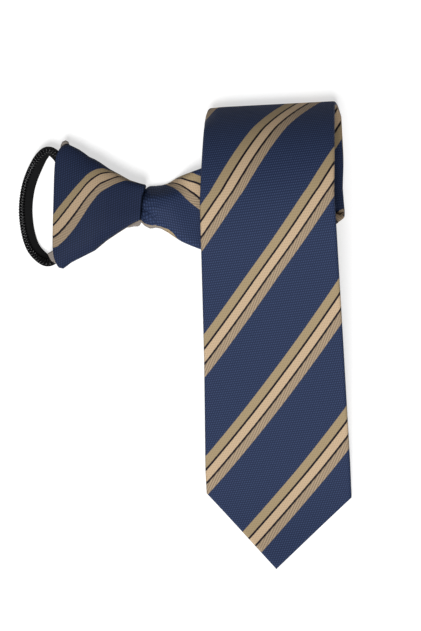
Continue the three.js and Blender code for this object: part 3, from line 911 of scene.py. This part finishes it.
def build_knot_under():
    """The wrap's lower turn: a flat layer that peeks past the upper one at three places."""
    across = across_points(41)
    places = np.sort(np.concatenate([KNOT_UNDER[:, 0], np.linspace(-47.25, -0.45, 90)]))
    rows, edges = [], []
    for x in places:
        top, low = read(KNOT_UNDER, 1, x), read(KNOT_UNDER, 2, x)
        y = low + (top - low) * (across + 1) / 2
        nub = NUB_RISE * smooth(y, 16, 27) * fade(x, -36, -30)
        wedge = WEDGE_RISE * fade(y, -22, -12) * fade(x, -43, -36)
        z = UNDER_THICKNESS / 2 + FLOOR_GAP + nub + wedge
        rows.append(np.stack([np.full_like(y, x), y, z], axis=1))
        from_end = min(x - places[0], places[-1] - x)
        edges.append(np.minimum((1 - np.abs(across)) * (top - low) / 2, from_end))
    middle = np.array(rows)
    half = UNDER_THICKNESS / 2 * rounded(np.array(edges), UNDER_THICKNESS / 2)
    ring = both_sides(middle + UP * half[..., None], middle - UP * half[..., None])
    points = ring.reshape(-1, 3)
    plain = np.ones(len(points))
    uv_sets = {"cloth": points[:, [1, 0]] / 100, "stripe": pairs(0 * plain, plain)}
    return mesh_from_grid("knot_underwrap", points, ring_quads(*ring.shape[:2]), uv_sets)


# The neck tape's route: x, y and z as shares of the knot's length, half width and mouth height, and roll
NECK_ROUTE = np.array([
    [-0.74, 0.11, 0.462, 0],
    [-0.8, 0.36, 0.462, 10],
    [-0.88, 0.6, 0.446, 22],
    [-0.97, 0.775, 0.431, 46],
    [-1.06, 0.86, 0.4, 55],
    [-1.14, 0.785, 0.292, 37],
    [-1.222, 0.588, 0.162, 12],
    [-1.29, 0.345, 0.069, 2],
    [-1.325, 0.085, 0.054, 0],
    [-1.33, -0.165, 0.054, 0],
    [-1.305, -0.44, 0.062, 2],
    [-1.25, -0.675, 0.108, 5],
    [-1.165, -0.825, 0.208, 14],
    [-1.07, -0.9, 0.354, 34],
    [-0.98, -0.82, 0.431, 32],
    [-0.88, -0.6, 0.446, 22],
    [-0.8, -0.36, 0.462, 10],
    [-0.74, -0.11, 0.462, 0],
])
ROLL = 3


def spline_point(p0, p1, p2, p3, t):
    """A point at the share t between p1 and p2 on the smooth curve through all four."""
    linear_part = (p2 - p0) * t
    square_part = (2 * p0 - 5 * p1 + 4 * p2 - p3) * t * t
    cubic_part = (3 * p1 - p0 - 3 * p2 + p3) * t**3
    return 0.5 * (2 * p1 + linear_part + square_part + cubic_part)


def resampled(at, length, values):
    """Rows of values at other lengths along the same line."""
    return np.stack([np.interp(at, length, column) for column in values.T], axis=1)


def neck_route(count):
    """Even places along the neck tape: centre, outward direction, tangent, roll and length so far."""
    control = NECK_ROUTE[:, :ROLL] * np.array([KNOT_LENGTH, KNOT_HALF_WIDTH, MOUTH_HEIGHT])
    padded = np.concatenate([[2 * control[0] - control[1]], control, [2 * control[-1] - control[-2]]])
    fine, rolls = [], []
    for i in range(len(control) - 1):
        roll, next_roll = NECK_ROUTE[i, ROLL], NECK_ROUTE[i + 1, ROLL]
        for t in np.linspace(0, 1, 24, endpoint=False):
            fine.append(spline_point(*padded[i : i + 4], t))
            rolls.append(roll + (next_roll - roll) * t)
    fine.append(control[-1])
    rolls.append(NECK_ROUTE[-1, ROLL])
    fine, rolls = np.array(fine), np.array(rolls)
    length = np.concatenate([[0], np.cumsum(np.linalg.norm(np.diff(fine, axis=0), axis=1))])
    at = np.linspace(0, length[-1], count)
    centre = resampled(at, length, fine)
    tangent = unit(np.gradient(centre, axis=0))
    outward = unit(np.stack([tangent[:, 1], -tangent[:, 0], 0 * at], axis=1))
    return centre, outward, tangent, np.radians(np.interp(at, length, rolls)), at


def on_neck(centre, outward, roll, out, up):
    """Points at distances out from and up off the tape's middle."""
    c, s = np.cos(roll), np.sin(roll)
    return centre + outward * (out * c - up * s)[:, None] + UP * (out * s + up * c)[:, None]


def build_neck_tape():
    """The loop's tape, with round edges and flat ends."""
    centre, outward, _, roll, at = neck_route(200)
    half, thick = TAPE_WIDTH / 2, TAPE_THICKNESS / 2
    section = []
    for side in (1, -1):
        for k in range(7):
            turn = math.pi / 2 - math.pi * k / 6
            section.append((side * (half - thick + thick * math.cos(turn)), side * thick * math.sin(turn)))
        for out in np.linspace(half - thick, thick - half, 14)[1:-1]:
            section.append((side * out, -side * thick))
    points = np.stack([on_neck(centre, outward, roll, out, up) for out, up in section], axis=1)
    count, width = points.shape[:2]
    across = np.array([out for out, _ in section])
    uv = pairs(np.tile(across, count), np.repeat(at, width)) / 100
    quads = ring_quads(count, width) + end_caps(count, width)
    return mesh_from_grid("neck_tape_weave", points.reshape(-1, 3), quads, {"cloth": uv})


# The coil of teeth: pitch, wire radius, reach out and up, and distance from the tape's edge and ends
TOOTH_PITCH = 1.35
TOOTH_WIRE = 0.3
TOOTH_OUT = 1.25
TOOTH_UP = 0.48
TOOTH_FROM_EDGE = 0.1
TOOTH_FROM_END = 0.5


def build_neck_coil():
    """A nylon coil: one wire wound flat along the tape's outer edge."""
    centre, outward, tangent, roll, at = neck_route(400)
    steps, sides = 12, 6
    total = int(at[-1] / TOOTH_PITCH) * steps
    along = np.linspace(TOOTH_FROM_END, at[-1] - TOOTH_FROM_END, total)
    angle = np.arange(total) * 2 * math.pi / steps
    centre, outward, tangent = (resampled(along, at, values) for values in (centre, outward, tangent))
    out = TAPE_WIDTH / 2 - TOOTH_OUT - TOOTH_FROM_EDGE + TOOTH_OUT * np.cos(angle)
    up = TAPE_THICKNESS / 2 + GAP / 2 + TOOTH_UP + TOOTH_WIRE + TOOTH_UP * np.sin(angle)
    line = on_neck(centre, unit(outward), np.interp(along, at, roll), out, up)
    heading = unit(np.gradient(line, axis=0))
    side = unit(np.cross(heading, tangent))
    other = np.cross(heading, side)
    turns = [2 * math.pi * k / sides for k in range(sides)]
    round_wire = [side * math.cos(turn) + other * math.sin(turn) for turn in turns]
    points = np.stack([line + TOOTH_WIRE * way for way in round_wire], axis=1)
    quads = ring_quads(total, sides) + end_caps(total, sides)
    return mesh_from_grid("neck_coil_wire", points.reshape(-1, 3), quads, {})


def linear(r, g, b):
    """An sRGB colour, 0 to 255, as Blender's linear one."""
    values = [x / 255 for x in (r, g, b)]
    return tuple(x / 12.92 if x <= 0.04045 else ((x + 0.055) / 1.055) ** 2.4 for x in values) + (1.0,)


BLACK, WHITE = (0, 0, 0, 1), (1, 1, 1, 1)
STEP_BLEND = 0.0022  # half the way over which one colour of a stripe changes into the next


class Nodes:
    """Short names for making a material's nodes."""

    def __init__(self, name, roughness, metallic=0.0):
        self.material = bpy.data.materials.new(name)
        self.material.use_nodes = True
        self.tree = self.material.node_tree
        self.shader = self.tree.nodes["Principled BSDF"]
        self.put("Roughness", roughness)
        self.put("Metallic", metallic)

    def put(self, socket, value):
        self.shader.inputs[socket].default_value = value

    def link(self, value, socket):
        if hasattr(value, "links"):
            self.tree.links.new(value, socket)
        else:
            socket.default_value = value

    def math(self, operation, a, b=0.0, clamp=False):
        node = self.tree.nodes.new("ShaderNodeMath")
        node.operation = operation
        node.use_clamp = clamp
        self.link(a, node.inputs[0])
        self.link(b, node.inputs[1])
        return node.outputs[0]

    def scaled(self, value, factor, offset, clamp=False):
        """value times factor plus offset."""
        out = self.math("MULTIPLY_ADD", value, factor, clamp)
        out.node.inputs[2].default_value = offset
        return out

    def mix(self, factor, a, b):
        node = self.tree.nodes.new("ShaderNodeMix")
        node.data_type = "RGBA"
        colour_a, colour_b, result = 6, 7, 2  # the places of this node's colour sockets
        self.link(factor, node.inputs["Factor"])
        self.link(a, node.inputs[colour_a])
        self.link(b, node.inputs[colour_b])
        return node.outputs[result]

    def uv(self, name):
        """The two values of a uv layer."""
        node = self.tree.nodes.new("ShaderNodeUVMap")
        node.uv_map = name
        parts = self.tree.nodes.new("ShaderNodeSeparateXYZ")
        self.tree.links.new(node.outputs[0], parts.inputs[0])
        return parts.outputs[0], parts.outputs[1]

    def steps(self, factor, levels):
        """Colours from (place, colour) levels: each change is blended over a short way."""
        stops = [levels[0]]
        for (_, before), (place, colour) in zip(levels, levels[1:]):
            stops += [(place - STEP_BLEND, before), (place + STEP_BLEND, colour)]
        node = self.tree.nodes.new("ShaderNodeValToRGB")
        node.color_ramp.interpolation = "LINEAR"
        elements = node.color_ramp.elements
        while len(elements) < len(stops):
            elements.new(0.5)
        for element, (place, colour) in zip(elements, stops):
            element.position = place
            element.color = colour
        self.link(factor, node.inputs[0])
        return node.outputs[0]

    def noise(self, scale, detail=2.0, vector=None):
        node = self.tree.nodes.new("ShaderNodeTexNoise")
        node.inputs["Scale"].default_value = scale
        node.inputs["Detail"].default_value = detail
        if vector is not None:
            self.tree.links.new(vector, node.inputs["Vector"])
        return node.outputs[0]

    def bump(self, height, strength, distance):
        node = self.tree.nodes.new("ShaderNodeBump")
        node.inputs["Strength"].default_value = strength
        node.inputs["Distance"].default_value = distance
        self.link(height, node.inputs["Height"])
        self.link(node.outputs[0], self.shader.inputs["Normal"])

    def paint(self, colour):
        self.link(colour, self.shader.inputs["Base Color"])


def wave(nodes, uv, turns):
    """A sine across the cloth, with so many turns for each 100 mm along u and v."""
    parts = [nodes.math("MULTIPLY", value, count * 2 * math.pi) for value, count in zip(uv, turns)]
    return nodes.math("SINE", nodes.math("ADD", *parts))


def darkened_copy(colour, share):
    """A colour at a share of its brightness."""
    return tuple(share * channel for channel in colour[:3]) + (1,)


# The twill's two sets of threads and the ribs of its lower band, in turns for each 100 mm along u and v
TWILL_THREADS = ((84, -34), (5, -89))
RIB_TURNS = (78, -36)
NEXT_GROUP = 0.9985  # the phase in the middle of the change into the next group
BEHIND_SHADE = 0.3
PALE_SHADE = 0.25


def twill(name, navy_dark, navy_light, ribs, painted_shade=1.0):
    """Navy twill with stripes of ribbed tan, cream and plain tan, and thin dark lines between them. The last
    argument darkens the pale stripes, as painted shade.
    """
    nodes = Nodes(name, roughness=0.62)
    cloth = nodes.uv("cloth")
    phase, plain = nodes.uv("stripe")
    place = nodes.math("FRACT", phase)
    # The pale stripes are scaled down by the last argument: painted shade for the knot's sloping wall
    ribbed = darkened_copy(linear(163, 143, 119), painted_shade)
    tan = darkened_copy(linear(152, 134, 104), painted_shade)
    cream = darkened_copy(linear(184, 160, 131), painted_shade)
    brown = linear(72, 62, 52)
    backing = linear(130, 123, 117)
    line = linear(14, 15, 27)
    in_navy = nodes.steps(place, [(0, BLACK), (STRIPE_SHARE, WHITE), (NEXT_GROUP, BLACK)])
    in_ribbed = nodes.steps(place, [(0, WHITE), (LOWER_LINE, BLACK)])
    bands = [
        (0, ribbed),
        (LOWER_LINE - LINE_SHARE, line),
        (LOWER_LINE + LINE_SHARE, cream),
        (UPPER_LINE - LINE_SHARE, line),
        (UPPER_LINE + LINE_SHARE, tan),
    ]
    pale = nodes.steps(place, bands)
    threads = [nodes.scaled(wave(nodes, cloth, turns), 0.5, 0.5) for turns in TWILL_THREADS]
    weave = nodes.math("MULTIPLY", *threads)
    navy = nodes.mix(weave, navy_dark, navy_light)
    rib_lines = nodes.scaled(wave(nodes, cloth, RIB_TURNS), 0.6, 0.4, clamp=True)
    rib_lines = nodes.math("MULTIPLY", rib_lines, in_ribbed)
    pale = nodes.mix(nodes.math("MULTIPLY", rib_lines, ribs), pale, brown)
    pale = nodes.mix(nodes.math("MULTIPLY", weave, PALE_SHADE), pale, brown)
    colour = nodes.mix(in_navy, pale, navy)
    behind = nodes.mix(nodes.math("MULTIPLY", weave, BEHIND_SHADE), backing, brown)
    nodes.paint(nodes.mix(plain, colour, behind))
    nodes.put("Specular IOR Level", 0.05)
    nodes.bump(weave, strength=0.35, distance=0.0002)
    return nodes.material


def black_tape():
    """Black woven tape with a fine criss-cross weave."""
    nodes = Nodes("black_tape", roughness=0.8)
    cloth = nodes.uv("cloth")
    weave = nodes.math("MULTIPLY", wave(nodes, cloth, (95, 75)), wave(nodes, cloth, (95, -75)))
    weave = nodes.scaled(weave, 0.5, 0.5)
    nodes.paint(nodes.mix(weave, linear(7, 7, 8), linear(17, 17, 18)))
    nodes.put("Specular IOR Level", 0.12)
    nodes.bump(weave, strength=0.4, distance=0.0002)
    return nodes.material


def black_nylon():
    """Smooth black nylon wire with slight mottling."""
    nodes = Nodes("black_nylon", roughness=0.3)
    nodes.paint(nodes.mix(nodes.noise(900), linear(9, 9, 10), linear(20, 20, 22)))
    return nodes.material


def dark_metal():
    """Dull dark metal for the slider and the stop."""
    nodes = Nodes("dark_metal", roughness=0.4, metallic=1.0)
    spots = nodes.noise(400, 4)
    nodes.paint(nodes.mix(spots, linear(44, 44, 47), linear(70, 70, 73)))
    nodes.bump(spots, strength=0.1, distance=0.0001)
    return nodes.material


def chain_tape():
    """Rough black tape for the hidden zipped chain, which has no uv layer."""
    nodes = Nodes("chain_tape", roughness=0.8)
    place = nodes.tree.nodes.new("ShaderNodeTexCoord")
    spots = nodes.noise(2500, vector=place.outputs["Object"])
    nodes.paint(nodes.mix(spots, linear(14, 14, 15), linear(30, 30, 31)))
    nodes.bump(spots, strength=0.3, distance=0.0002)
    return nodes.material


def main():
    """Makes every piece and its material, and says what it rides on and what it replaces."""
    blade_cloth = twill("striped_twill", linear(32, 41, 65), linear(57, 71, 104), ribs=0.5)
    # The knot is the blade's own cloth: its darker navy and dimmed pale stripes are painted shade
    knot_cloth_painted_shade = twill("knot_twill", linear(27, 34, 53), linear(44, 55, 84), ribs=0.34, painted_shade=0.8)

    blade = build_blade()
    blade.data.materials.append(blade_cloth)
    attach(blade, "root")
    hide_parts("blade")

    knot = build_knot()
    under = build_knot_under()
    for piece in (knot, under):
        piece.data.materials.append(knot_cloth_painted_shade)
        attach(piece, "root")
        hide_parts("knot")

    neck = build_neck_tape()
    neck.data.materials.append(black_tape())
    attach(neck, "root")
    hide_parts("neck_tape")

    coil = build_neck_coil()
    coil.data.materials.append(black_nylon())
    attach(coil, "root")
    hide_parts("neck_coil")

    chain = chain_tape()
    metal = dark_metal()
    for node, material in (("zipper_chain", chain), ("zipper_slider", metal), ("bottom_stop", metal)):
        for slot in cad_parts[node].material_slots:
            slot.material = material


# The floor's half width and glow, and the light: a broad sun, a weak fill above and a faint even sky
FLOOR_REACH = 3.0
FLOOR_GLOW = 0.64
SUN_POWER = 4.2
SUN_SPREAD = 30
SUN_TILT, SUN_TURN = 29, -16
FILL_PLACE = np.array([-0.1, -0.1, 1.6])
FILL_POWER, FILL_SIZE = 1, 1.4
SKY_POWER = 0.04


def add_floor():
    """A plain pale floor that glows a little, so that it stays nearly white."""
    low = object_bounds()[0][2]
    corners = [(x * FLOOR_REACH, y * FLOOR_REACH, low) for x, y in ((-1, -1), (1, -1), (1, 1), (-1, 1))]
    mesh = bpy.data.meshes.new("floor")
    mesh.from_pydata(corners, [], [(0, 1, 2, 3)])
    floor = add_object("floor", mesh)
    nodes = Nodes("floor_paper", roughness=0.9)
    nodes.put("Base Color", (0.4, 0.4, 0.4, 1))
    nodes.put("Emission Color", WHITE)
    nodes.put("Emission Strength", FLOOR_GLOW)
    floor.data.materials.append(nodes.material)


def add_light(name, kind, power, rotation):
    """Adds a light at the origin, turned by three angles."""
    light = bpy.data.lights.new(name, kind)
    light.energy = power
    made = add_object(name, light)
    made.rotation_euler = rotation
    return made


def add_lights():
    """A broad key light, a weak fill and an even sky."""
    key = add_light("key", "SUN", SUN_POWER, (math.radians(SUN_TILT), 0, math.radians(SUN_TURN)))
    key.data.angle = math.radians(SUN_SPREAD)
    aim = -FILL_PLACE / np.linalg.norm(FILL_PLACE)
    fill = add_light("fill", "AREA", FILL_POWER, (math.acos(-aim[2]), 0, math.atan2(aim[0], -aim[1])))
    fill.data.size = FILL_SIZE
    fill.location = FILL_PLACE
    world = bpy.data.worlds.new("studio")
    world.use_nodes = True
    background = world.node_tree.nodes["Background"]
    background.inputs["Color"].default_value = WHITE
    background.inputs["Strength"].default_value = SKY_POWER
    bpy.context.scene.world = world
    bpy.context.scene.view_settings.view_transform = "Standard"


# The camera looks straight down: its height, the height of what it sees, its sensor and its frame's middle
CAMERA_HEIGHT = 1600.0
FRAME_HEIGHT = 315.5
SENSOR = 36
FRAME_CENTRE = np.array([33.75, -55.25, 0.0])


def add_camera():
    """The camera, straight above the middle of the frame."""
    camera = bpy.data.cameras.new("camera")
    camera.lens = SENSOR * CAMERA_HEIGHT / FRAME_HEIGHT
    made = add_object("camera", camera)
    made.location = (FRAME_CENTRE + SHIFT + CAMERA_HEIGHT * UP) / 1000
    bpy.context.scene.camera = made


main()
add_floor()
add_lights()
add_camera()


def plain(box):
    """A box as plain lists of numbers."""
    return [[float(x) for x in corner] for corner in box]
